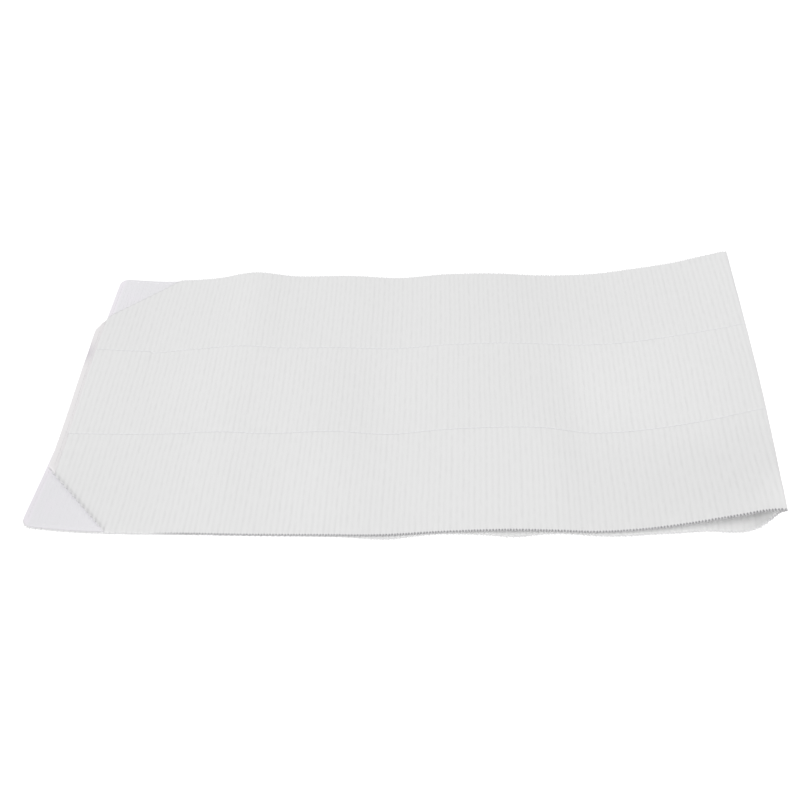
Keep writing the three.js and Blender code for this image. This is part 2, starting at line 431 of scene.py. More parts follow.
@dataclass(frozen=True)
class ElasticFinish:
    """Matte white ribbed elastic: a knit of small loops, with painted shade in its grooves, along its seams
    and on its rims.
    """

    name: str = "ribbed_elastic"
    crest: Colour = (0.81, 0.81, 0.81, 1.0)
    # The groove colour is painted shade in the grooves, and also the tone that the knit and the fuzz mix
    # towards; the seam and rim colours are painted shade.
    groove: Colour = (0.74, 0.74, 0.74, 1.0)
    faded: Colour = (0.778, 0.778, 0.779, 1.0)
    seam: Colour = (0.74, 0.74, 0.75, 1.0)
    raw_rim: Colour = (0.26, 0.255, 0.27, 1.0)
    rib_width: float = 3.23
    loop_pitch: float = 1.25
    loop_slant: float = 0.35
    loop_fullness: float = 4.0
    fuzz_grain: float = 2.4
    fuzz_layers: float = 3.0
    cloud_grain: float = 0.05
    cloud_range: tuple[float, float] = (0.45, 0.75)
    dash_across: float = 0.15
    dash_ribs: float = 1.7
    dash_range: tuple[float, float] = (0.3, 0.7)
    even_groove: float = 0.72
    groove_shade: float = 0.3
    dash_shade: float = 0.55
    knit_shade: float = 0.06
    fuzz_shade: float = 0.10
    cloud_shade: float = 0.25
    fuzz_relief: float = 0.3
    relief: float = 0.12
    relief_strength: float = 0.45
    roughness: float = 0.84
    fuzz_roughness: float = 0.1
    groove_roughness: float = 0.05
    specular: float = 0.25
    sheen: float = 0.12
    sheen_roughness: float = 0.5

    def material(self) -> bpy.types.Material:
        """Builds the elastic's material from the rib and across marks of its mesh, and from its marks of
        painted shade on the rims and along the seams.

        Returns:
            The material.
        """
        bench = FinishBench(self.name)
        rib = bench.mark("rib")
        across = bench.mark("across")
        cloth = bench.spot(across, rib * self.rib_width)
        second = (rib * 0.5).off_middle() * (1 - self.even_groove)
        groove = rib.off_middle().eased(0.0, 1.0) * (self.even_groove + second)
        wale = (rib * 2).off_middle()
        loop = (across / self.loop_pitch + (rib * 2).whole() * 0.5 + wale * self.loop_slant).pulse()
        knit = loop * (1 - wale**self.loop_fullness)
        fuzz = bench.noise(cloth, self.fuzz_grain, self.fuzz_layers)
        cloud = bench.noise(cloth, self.cloud_grain)
        dashes = bench.spot(across * self.dash_across, rib * self.dash_ribs)
        dash = bench.noise(dashes, scale=1.0, detail=1.0)
        # Painted shade: the grooves are darkened towards the groove colour, unevenly in dashes.
        shade = groove * (self.groove_shade + dash.eased(*self.dash_range) * self.dash_shade)
        white = bench.mix(shade, self.crest, self.groove)
        white = bench.mix((1 - knit) * self.knit_shade + fuzz * self.fuzz_shade, white, self.groove)
        white = bench.mix(cloud.eased(*self.cloud_range) * self.cloud_shade, white, self.faded)
        # Painted shade along the seams, where the bands meet in a narrow groove.
        white = bench.mix(bench.mark("seam"), white, self.seam)
        # Painted shade on the rims of the long edges and the cut corners, where they lie in shade.
        white = bench.mix(bench.mark("rim_shade"), white, self.raw_rim)
        height = knit * (1 - self.fuzz_relief) + fuzz * self.fuzz_relief
        return bench.surface(
            {
                "Base Color": white,
                "Roughness": self.roughness + fuzz * self.fuzz_roughness + groove * self.groove_roughness,
                "Normal": bench.bump(height, self.relief, self.relief_strength),
                "Specular IOR Level": self.specular,
                "Sheen Weight": self.sheen,
                "Sheen Roughness": self.sheen_roughness,
            }
        )


@dataclass(frozen=True)
class HookTapeFinish:
    """Smooth lilac-white tape: a fine weave, faint rows where the hooks stand, a pinker selvage, and painted
    shade on its side rims.
    """

    name: str = "hook_tape_weave"
    ground: Colour = (0.82, 0.815, 0.837, 1.0)
    row: Colour = (0.797, 0.788, 0.816, 1.0)
    selvage: Colour = (0.845, 0.812, 0.86, 1.0)
    # Painted shade, darkening the tape's side rims.
    rim: Colour = (0.58, 0.56, 0.59, 1.0)
    row_pitch: float = HOOK_ROW
    selvage_width: float = SELVAGE
    selvage_blur: float = 0.6
    yarn: float = 0.55
    fuzz_grain: float = 1.6
    fuzz_layers: float = 3.0
    cloud_grain: float = 0.06
    cloud_range: tuple[float, float] = (0.4, 0.7)
    row_shade: float = 0.3
    fuzz_shade: float = 0.25
    cloud_shade: float = 0.3
    even_selvage: float = 0.6
    fuzz_relief: float = 0.4
    relief: float = 0.06
    relief_strength: float = 0.4
    roughness: float = 0.5
    fuzz_roughness: float = 0.2
    selvage_roughness: float = 0.1
    specular: float = 0.35

    def material(self) -> bpy.types.Material:
        """Builds the tape's material from the inward, across and rim marks of its mesh, the rim mark
        carrying painted shade.

        Returns:
            The material.
        """
        bench = FinishBench(self.name)
        inward = bench.mark("inward")
        across = bench.mark("across")
        cloth = bench.spot(inward, across)
        fuzz = bench.noise(cloth, self.fuzz_grain, self.fuzz_layers)
        cloud = bench.noise(cloth, self.cloud_grain)
        rows = (inward / self.row_pitch).pulse()
        weave = (inward / self.yarn).wave() * (across / self.yarn).wave() * 0.5 + 0.5
        blur = self.selvage_blur
        border = 1 - inward.eased(self.selvage_width - blur, self.selvage_width + blur)
        lilac = bench.mix(rows * self.row_shade + fuzz * self.fuzz_shade, self.ground, self.row)
        lilac = bench.mix(cloud.eased(*self.cloud_range) * self.cloud_shade, lilac, self.selvage)
        uneven = cloud * (1 - self.even_selvage)
        lilac = bench.mix(border * (self.even_selvage + uneven), lilac, self.selvage)
        # Painted shade on the tape's side rims.
        lilac = bench.mix(bench.mark("rim"), lilac, self.rim)
        height = weave * (1 - self.fuzz_relief) + fuzz * self.fuzz_relief
        return bench.surface(
            {
                "Base Color": lilac,
                "Roughness": self.roughness + fuzz * self.fuzz_roughness + border * self.selvage_roughness,
                "Normal": bench.bump(height, self.relief, self.relief_strength),
                "Specular IOR Level": self.specular,
            }
        )


@dataclass(frozen=True)
class BindingFinish:
    """Plain pinkish-white tape with a fine rib across its width, and painted shade in a patch on its folded
    edge and at its ends.
    """

    name: str = "binding_tape_weave"
    ground: Colour = (0.83, 0.812, 0.818, 1.0)
    shade: Colour = (0.80, 0.777, 0.79, 1.0)
    # Painted shade, for a patch of the tape's folded edge and for its two ends.
    patch_shade: Colour = (0.66, 0.628, 0.665, 1.0)
    rib_pitch: float = 0.7
    rib_waver: float = 0.2
    fuzz_grain: float = 2.0
    fuzz_layers: float = 3.0
    cloud_grain: float = 0.08
    cloud_range: tuple[float, float] = (0.45, 0.75)
    rib_shade: float = 0.2
    fuzz_shade: float = 0.2
    cloud_shade: float = 0.4
    fuzz_relief: float = 0.4
    relief: float = 0.08
    relief_strength: float = 0.4
    roughness: float = 0.7
    fuzz_roughness: float = 0.15
    specular: float = 0.3
    sheen: float = 0.1

    def material(self) -> bpy.types.Material:
        """Builds the tape's material from the lengthwise and around marks of its mesh, and from its mark of
        painted shade.

        Returns:
            The material.
        """
        bench = FinishBench(self.name)
        lengthwise = bench.mark("lengthwise")
        cloth = bench.spot(lengthwise, bench.mark("around"))
        fuzz = bench.noise(cloth, self.fuzz_grain, self.fuzz_layers)
        cloud = bench.noise(cloth, self.cloud_grain)
        rib = (lengthwise / self.rib_pitch + fuzz * self.rib_waver).pulse()
        pink = bench.mix((1 - rib) * self.rib_shade + fuzz * self.fuzz_shade, self.ground, self.shade)
        pink = bench.mix(cloud.eased(*self.cloud_range) * self.cloud_shade, pink, self.shade)
        # Painted shade: a patch of the folded edge and both ends of the tape darkened.
        pink = bench.mix(bench.mark("patch_shade"), pink, self.patch_shade)
        height = rib * (1 - self.fuzz_relief) + fuzz * self.fuzz_relief
        return bench.surface(
            {
                "Base Color": pink,
                "Roughness": self.roughness + fuzz * self.fuzz_roughness,
                "Normal": bench.bump(height, self.relief, self.relief_strength),
                "Specular IOR Level": self.specular,
                "Sheen Weight": self.sheen,
            }
        )


@dataclass(frozen=True)
class ThreadFinish:
    """Sewing thread with its twist."""

    name: str = "sewing_thread"
    light: Colour = (0.83, 0.826, 0.83, 1.0)
    dark: Colour = (0.75, 0.745, 0.755, 1.0)
    twist: float = 2.5
    twist_shade: float = 0.6
    relief: float = 0.03
    relief_strength: float = 0.5
    roughness: float = 0.6
    twist_roughness: float = 0.15
    sheen: float = 0.1

    def material(self) -> bpy.types.Material:
        """Builds the thread's material from the twist mark of its mesh.

        Returns:
            The material.
        """
        bench = FinishBench(self.name)
        strand = (bench.mark("twist") * self.twist).pulse()
        return bench.surface(
            {
                "Base Color": bench.mix((1 - strand) * self.twist_shade, self.light, self.dark),
                "Roughness": self.roughness + strand * self.twist_roughness,
                "Normal": bench.bump(strand, self.relief, self.relief_strength),
                "Sheen Weight": self.sheen,
            }
        )


@dataclass(frozen=True)
class SeamThreadFinish(ThreadFinish):
    """The same thread where it is sunk in a seam, greyer: a copy with painted shade, to match the seams'
    painted shade.
    """

    name: str = "shaded_seam_thread"
    light: Colour = (0.755, 0.752, 0.76, 1.0)
    dark: Colour = (0.69, 0.686, 0.696, 1.0)


@dataclass(frozen=True)
class HookFinish:
    """Clear-white stiff filament of the hooks."""

    name: str = "hook_filament"
    root: Colour = (0.80, 0.793, 0.815, 1.0)
    tip: Colour = (0.835, 0.83, 0.845, 1.0)
    roughness: float = 0.5
    tip_gloss: float = 0.15
    tip_coat: float = 0.1

    def material(self) -> bpy.types.Material:
        """Builds the filament's material from the rise mark of its mesh.

        Returns:
            The material.
        """
        bench = FinishBench(self.name)
        rise = bench.mark("rise")
        lilac = bench.mix(rise, self.root, self.tip)
        rough = self.roughness - rise * self.tip_gloss
        return bench.surface({"Base Color": lilac, "Roughness": rough, "Coat Weight": rise * self.tip_coat})


@dataclass(frozen=True)
class FloorFinish:
    """Plain pale studio floor."""

    name: str = "pale_floor"
    white: Colour = (0.70, 0.70, 0.70, 1.0)
    light: Colour = (1.0, 1.0, 1.0, 1.0)
    glow: float = 0.5
    roughness: float = 0.9
    specular: float = 0.1

    def material(self) -> bpy.types.Material:
        """Builds the floor's material.

        Returns:
            The material.
        """
        return FinishBench(self.name).surface(
            {
                "Base Color": self.white,
                "Roughness": self.roughness,
                "Specular IOR Level": self.specular,
                "Emission Color": self.light,
                "Emission Strength": self.glow,
            }
        )


def enclosed(points: Array, polygons: Sequence[Array]) -> float:
    """Measures the volume that polygons enclose, positive where they face outwards.

    Args:
        points: The corners' places.
        polygons: Arrays of corner numbers, one for each number of corners.

    Returns:
        The volume.
    """
    total = 0.0
    for corners in polygons:
        first = points[corners[:, 0]]
        for side in range(1, corners.shape[1] - 1):
            normal = np.cross(points[corners[:, side]], points[corners[:, side + 1]])
            total += float((first * normal).sum()) / 6
    return total


def make_piece(
    name: str, points: Array, polygons: Sequence[Array], marks: Mapping[str, Array]
) -> bpy.types.Object:
    """Makes a smooth mesh piece that rides on the belt's one body.

    Args:
        name: The piece's name.
        points: Its points, in millimetres.
        polygons: Arrays of corner numbers, one for each number of corners.
        marks: Numbers that its points carry, by name.

    Returns:
        The piece.
    """
    if enclosed(points, polygons) < 0:
        polygons = [corners[:, ::-1] for corners in polygons]
    mesh = bpy.data.meshes.new(name)
    mesh.vertices.add(len(points))
    mesh.vertices.foreach_set("co", (points * MM).astype(np.float32).ravel())
    corners = np.concatenate([part.ravel() for part in polygons]).astype(np.int32)
    sizes = np.concatenate([np.full(len(part), part.shape[1]) for part in polygons])
    mesh.loops.add(len(corners))
    mesh.loops.foreach_set("vertex_index", corners)
    mesh.polygons.add(len(sizes))
    mesh.polygons.foreach_set("loop_start", (np.cumsum(sizes) - sizes).astype(np.int32))
    mesh.update(calc_edges=True)
    mesh.shade_smooth()
    for mark, values in marks.items():
        carried = mesh.attributes.new(mark, "FLOAT", "POINT")
        carried.data.foreach_set("value", values.astype(np.float32).ravel())
    piece = bpy.data.objects.new(name, mesh)
    bpy.context.scene.collection.objects.link(piece)
    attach(piece, "root")
    LOG.info("%s: %d points, %d faces", name, len(points), len(sizes))
    return piece


def make_sheet(name: str, face: Array, back: Array, marks: Mapping[str, Array]) -> bpy.types.Object:
    """Joins the two faces of a sheet into one closed piece.

    Args:
        name: The piece's name.
        face: One face's points, station by column.
        back: The other face's points, in the same order.
        marks: Numbers that both faces carry, by name, station by column.

    Returns:
        The piece.
    """
    count, columns = face.shape[:2]
    rings = np.concatenate([face, back[:, ::-1]], axis=1)
    number = np.arange(rings[..., 0].size).reshape(count, -1)
    ahead = np.roll(number, -1, axis=1)
    skin = np.stack([number[:-1], number[1:], ahead[1:], ahead[:-1]], axis=-1).reshape(-1, 4)
    half = np.arange(columns - 1)
    caps = []
    for ring, step in ((number[0], 1), (number[-1], -1)):
        cap = np.stack([ring[half], ring[half + 1], ring[-2 - half], ring[-1 - half]], axis=-1)
        caps.append(cap[:, ::step])
    carried = {}
    for mark, values in marks.items():
        spread = np.broadcast_to(values, (count, columns))
        carried[mark] = np.concatenate([spread, spread[:, ::-1]], axis=1)
    return make_piece(name, rings.reshape(-1, 3), [np.concatenate([skin, *caps])], carried)


def make_tubes(
    name: str, paths: Array, up: Array, strand: Strand, marks: Mapping[str, Array]
) -> bpy.types.Object:
    """Makes many short closed tubes as one joined piece.

    Args:
        name: The piece's name.
        paths: The tubes' middle lines, as tubes by points by three.
        up: A direction for each tube that isn't along it.
        strand: The tubes' section.
        marks: Numbers that the points of every path carry, by name.

    Returns:
        The piece.
    """
    along = np.gradient(paths, axis=1)
    along /= np.linalg.norm(along, axis=-1, keepdims=True)
    aside = np.cross(along, up[:, None])
    aside /= np.linalg.norm(aside, axis=-1, keepdims=True)
    above = np.cross(aside, along)
    angle = np.arange(strand.sides) * TURN / strand.sides
    spread = aside[:, :, None] * np.cos(angle)[:, None] + above[:, :, None] * np.sin(angle)[:, None]
    points = paths[:, :, None] + spread * strand.radius
    number = np.arange(points[..., 0].size).reshape(points.shape[:3])
    ahead = np.roll(number, -1, axis=2)
    skin = np.stack([number[:, :-1], ahead[:, :-1], ahead[:, 1:], number[:, 1:]], axis=-1)
    caps = np.concatenate([number[:, 0, ::-1], number[:, -1]])
    carried = {mark: np.broadcast_to(values[:, None], number.shape) for mark, values in marks.items()}
    return make_piece(name, points.reshape(-1, 3), [skin.reshape(-1, 4), caps], carried)


def dress(piece: bpy.types.Object, material: bpy.types.Material) -> None:
    """Gives a piece its material."""
    piece.data.materials.append(material)


@dataclass
class BeltForm:
    """The folded belt's middle surface: X along it towards the fold, Y across it, Z up off the floor."""

    width: float = 229.0
    wall: float = 1.6
    upper_sideways: float = -2.0
    front_draw: float = 0.5
    front_corner: tuple[float, float] = (-209.2, -67.0)
    back_corner: tuple[float, float] = (-213.8, 67.0)
    back_bevel: float = 9.0
    back_bevel_run: float = 7.0
    front_cut_x: float = -163.2
    back_cut_x: float = -166.7
    lower_end_front: float = -213.2
    lower_end_back: float = -212.0
    corner_radius: float = 6.5
    seam_step_along: float = 42.0
    seam_step: float = 0.7
    seam_step_run: float = 15.0
    seam_step_spread: float = 9.0
    seam_step_sharpness: float = 0.5
    seam_sag: float = 1.5
    seam_sag_run: float = 22.0
    seam_sag_spread: float = 18.0
    pinch: float = 0.8
    pinch_height: float = 23.2
    pinch_reach: float = 1.0
    pinch_run: float = 11.0
    pinch_spread: float = 16.0
    columns: int = 47
    split: int = 40
    fold_share: float = 0.5
    share_steps: int = 1600
    probe: float = 1e-4

    def __post_init__(self) -> None:
        """Lays out the surface's knots and its table of lengths."""
        self.half_wall: float = self.wall / 2
        self.half_width: float = self.width / 2
        self.band: float = self.width / 3
        self.seam: float = self.width / 6
        self._lay_knots()
        self._lay_lengths()

    def _lay_knots(self) -> None:
        """Sets out the rows of the layers and the fold as values on the belt's four long lines."""
        upper_x = [[row.along] * 4 for row in UPPER_LAYER]
        fold_x = [np.array(FOLD_NOSE) - turn.setback for turn in FOLD_PATH]
        lower_x = [[row.along] * 4 for row in LOWER_LAYER]
        self.knot_x: Array = np.array([*upper_x, *fold_x, *lower_x], float)
        upper_z = [np.array(row.height) - self.half_wall for row in UPPER_LAYER]
        fold_z = [np.array(FOLD_CROWN) * turn.share for turn in FOLD_PATH]
        lifts = [np.array([row.front_lift, 0, 0, row.back_lift]) for row in LOWER_LAYER]
        self.knot_z: Array = np.array([*upper_z, *fold_z, *[lift + self.half_wall for lift in lifts]], float)
        turns = np.arange(1, len(FOLD_PATH) + 1) / (len(FOLD_PATH) + 1)
        fold_side = self.upper_sideways + (LOWER_LAYER[0].sideways - self.upper_sideways) * turns
        upper_side = np.full(len(UPPER_LAYER), self.upper_sideways)
        lower_side = [row.sideways for row in LOWER_LAYER]
        self.sideways: Array = np.concatenate([upper_side, fold_side, lower_side])
        upper_draw, lower_draw = np.ones(len(UPPER_LAYER)), np.zeros(len(LOWER_LAYER))
        self.drawn: Array = np.concatenate([upper_draw, 1 - turns, lower_draw]) * self.front_draw
        self.slope_x: Array = self._slopes(self.knot_x)
        self.slope_z: Array = self._slopes(self.knot_z)

    @staticmethod
    def _slopes(values: Array) -> Array:
        """Finds the slope at each long line of curves across the belt that never overshoot their values.

        Args:
            values: A row of four values for each knot.

        Returns:
            A row of four slopes for each knot.
        """
        rises = np.diff(values, axis=1)
        product = rises[:, :-1] * rises[:, 1:]
        total = np.where(product > 0, rises[:, :-1] + rises[:, 1:], 1.0)
        inner = np.where(product > 0, 2 * product / total, 0.0)
        return np.concatenate([rises[:, :1], inner, rises[:, -1:]], axis=1)

    def _lay_lengths(self) -> None:
        """Tabulates the path's parameter for each share of the length, on columns across the belt."""
        spans = len(self.knot_x) - 1
        t = np.linspace(0, 1, spans * self.split + 1)
        ends = 2 * self.split
        self.table_y: Array = np.linspace(-self.half_width, self.half_width, self.columns)
        self.table_length: Array = np.zeros(self.columns)
        self.table_t: Array = np.zeros((self.columns, self.share_steps + 1))
        for column, y in enumerate(self.table_y):
            path = self.point(t, np.full_like(t, y))
            run = np.concatenate([[0.0], np.cumsum(np.linalg.norm(np.diff(path, axis=0), axis=1))])
            start = np.interp(self.end_line(y), path[:ends, 0], run[:ends])
            stop = np.interp(-self.lower_line(y), -path[-ends:, 0], run[-ends:])
            self.table_length[column] = stop - start
            shares = np.linspace(start, stop, self.share_steps + 1)
            self.table_t[column] = np.interp(shares, run, t)

    def end_line(self, y: float) -> float:
        """Where the upper layer's straight end lies at a place across the belt, cut corners not counted."""
        (x0, y0), (x1, y1) = self.front_corner, self.back_corner
        return x0 + (x1 - x0) * (y - y0) / (y1 - y0)

    def lower_line(self, y: float) -> float:
        """Where the lower layer's square end lies at a place across the belt."""
        share = (y + self.half_width) / self.width
        return self.lower_end_front + (self.lower_end_back - self.lower_end_front) * share

    def knot(self, index: Array, y: Array) -> Array:
        """Finds knots of the paths at places across the belt.

        Args:
            index: The knots' numbers.
            y: The places.

        Returns:
            The knots' points.
        """
        index = np.clip(index, 0, len(self.knot_x) - 1)
        spot = np.clip((y + self.half_width) / self.band, 0, 3)
        left = np.minimum(spot.astype(int), 2)
        s = spot - left
        weights = ((1 + 2 * s) * (1 - s) ** 2, s**2 * (3 - 2 * s), s * (1 - s) ** 2, -(s**2) * (1 - s))

        def read(values: Array, slopes: Array) -> Array:
            """Reads one coordinate off the four long lines."""
            ends = values[index, left] * weights[0] + values[index, left + 1] * weights[1]
            return ends + slopes[index, left] * weights[2] + slopes[index, left + 1] * weights[3]

        x, z = read(self.knot_x, self.slope_x), read(self.knot_z, self.slope_z)
        in_front = np.clip(1 - spot, 0, 1)
        return np.stack([x, y + self.sideways[index] + self.drawn[index] * in_front, z], axis=-1)

    def point(self, t: Array, y: Array) -> Array:
        """Finds points of the middle surface, on curves that pass through the knots.

        Args:
            t: The paths' parameters, from 0 to 1.
            y: The places across the belt.

        Returns:
            The points.
        """
        spans = len(self.knot_x) - 1
        place = np.clip(t, 0, 1) * spans
        i = np.minimum(place.astype(int), spans - 1)
        w = (place - i)[..., None]
        b, c = self.knot(i, y), self.knot(i + 1, y)
        a = np.where((i > 0)[..., None], self.knot(i - 1, y), 2 * b - c)
        d = np.where((i + 2 <= spans)[..., None], self.knot(i + 2, y), 2 * c - b)
        steps = ((a, b), (b, c), (c, d))
        before, here, after = (((q - p) ** 2).sum(-1, keepdims=True) ** 0.25 for p, q in steps)
        leave = ((b - a) / before - (c - a) / (before + here) + (c - b) / here) * here
        reach = ((c - b) / here - (d - b) / (here + after) + (d - c) / after) * here
        square = -3 * b + 3 * c - 2 * leave - reach
        cube = 2 * b - 2 * c + leave + reach
        return b + leave * w + square * w**2 + cube * w**3

    def parameter(self, share: Array, y: Array) -> Array:
        """Finds the paths' parameters at shares of the belt's length.

        Args:
            share: The shares.
            y: The places across the belt.

        Returns:
            The parameters.
        """
        column = np.clip((y + self.half_width) / self.width, 0, 1) * (self.columns - 1)
        row = np.clip(share, 0, 1) * self.share_steps
        j = np.minimum(column.astype(int), self.columns - 2)
        k = np.minimum(row.astype(int), self.share_steps - 1)
        u, v = column - j, row - k
        near = self.table_t[j, k] * (1 - v) + self.table_t[j, k + 1] * v
        far = self.table_t[j + 1, k] * (1 - v) + self.table_t[j + 1, k + 1] * v
        return near * (1 - u) + far * u

    def length(self, y: Union[float, Array]) -> Array:
        """The belt's length, end to end, at a place across it."""
        return np.interp(y, self.table_y, self.table_length)

    def edge(self, share: Array, edge: Edge) -> Array:
        """Follows a long edge, with the cut corner at its upper end and the rounded one at its lower end.

        Args:
            share: Shares of the belt's length.
            edge: Which edge.

        Returns:
            Its places across the belt.
        """
        rim = edge.value * self.half_width
        length = self.length(rim)
        inset = self.rounded((1 - share) * length)
        corner, cut_x = self.front_corner, self.front_cut_x
        if edge is Edge.BACK:
            corner, cut_x = self.back_corner, self.back_cut_x
            inset = inset + self.back_bevel * np.clip(1 - share * length / self.back_bevel_run, 0, 1)
        cut = np.clip(share * length / (cut_x - self.end_line(rim)), 0, 1)
        return corner[1] + (rim - corner[1]) * cut - edge.value * inset

    def rounded(self, left: Array) -> Array:
        """How far a rounded corner draws an edge in, with that much of the length left."""
        inside = self.corner_radius - np.clip(left, 0, self.corner_radius)
        return self.corner_radius - np.sqrt(self.corner_radius**2 - inside**2)

    def lay(self, share: Array, y: Array) -> tuple[Array, Array]:
        """Finds places on the middle surface, with the small forms of its seam, its fold and its creases.

        Args:
            share: Shares of the belt's length.
            y: The places across the belt.

        Returns:
            The points, and the outward directions there.
        """
        t = self.parameter(share, y)
        point = self.point(t, y)
        ahead = self.point(t + self.probe, y) - self.point(t - self.probe, y)
        outward = np.stack([-ahead[..., 2], np.zeros_like(t), ahead[..., 0]], axis=-1)
        outward /= np.linalg.norm(outward, axis=-1, keepdims=True)
        point[..., 2] = np.maximum(point[..., 2], self.half_wall)
        along = share * self.length(y)
        spots = Spots(share, along, self.length(y) - along, y, point)
        self._bend_seam(spots)
        self._pinch_fold(spots)
        self._shift_lower_edge(spots)
        self._press_creases(spots, outward)
        return point, outward

    def _bend_seam(self, spots: Spots) -> None:
        """Gives the back seam its small step, and the sag on both sides of it.

        Args:
            spots: The places, whose points it moves.
        """
        run, off = spots.along - self.seam_step_along, spots.y - self.seam
        nearby = np.exp(-((run / self.seam_step_run) ** 2) - (off / self.seam_step_spread) ** 2)
        spots.point[..., 1] -= self.seam_step * np.tanh(run / self.seam_step_sharpness) * nearby
        sag = np.exp(-np.abs(run) / self.seam_sag_run - (off / self.seam_sag_spread) ** 2)
        spots.point[..., 1] -= self.seam_sag * sag * (spots.share < self.fold_share)

    def _pinch_fold(self, spots: Spots) -> None:
        """Pinches the fold's front corner flat.

        Args:
            spots: The places, whose points it moves.
        """
        x, z = spots.point[..., 0], spots.point[..., 2]
        off_nose = np.hypot(x - FOLD_NOSE.front, z - self.pinch_height)
        off_edge = (spots.y + self.half_width) / self.pinch_spread
        pinch = self.pinch * np.exp(-((off_nose / self.pinch_run) ** 2) - off_edge**2)
        x += self.pinch_reach * pinch
        z += (self.pinch_height - z) * pinch

    def _shift_lower_edge(self, spots: Spots) -> None:
        """Moves the lower layer's front edge out or in where it leaves the upper layer's.

        Args:
            spots: The places, whose points it moves.
        """
        in_front = np.clip(1 - (spots.y + self.half_width) / self.band, 0, 1)
        in_front = in_front * (spots.share > self.fold_share)
        for peek in PEEKS:
            off = spots.left - peek.from_end
            spots.point[..., 1] -= peek.reach * in_front * np.exp(-((off / peek.run) ** 2))

    @staticmethod
    def _press_creases(spots: Spots, outward: Array) -> None:
        """Presses the creases in.

        Args:
            spots: The places, whose points it moves.
            outward: The outward directions there.
        """
        for crease in CREASES:
            turn = math.radians(crease.turn)
            dx, dy = spots.along - crease.along, spots.y - crease.across
            lengthwise = dx * math.cos(turn) + dy * math.sin(turn)
            sidewise = dy * math.cos(turn) - dx * math.sin(turn)
            dip = np.exp(-((lengthwise / crease.length) ** 2) - (sidewise / crease.width) ** 2)
            spots.point[...] -= outward * (crease.depth * dip)[..., None]


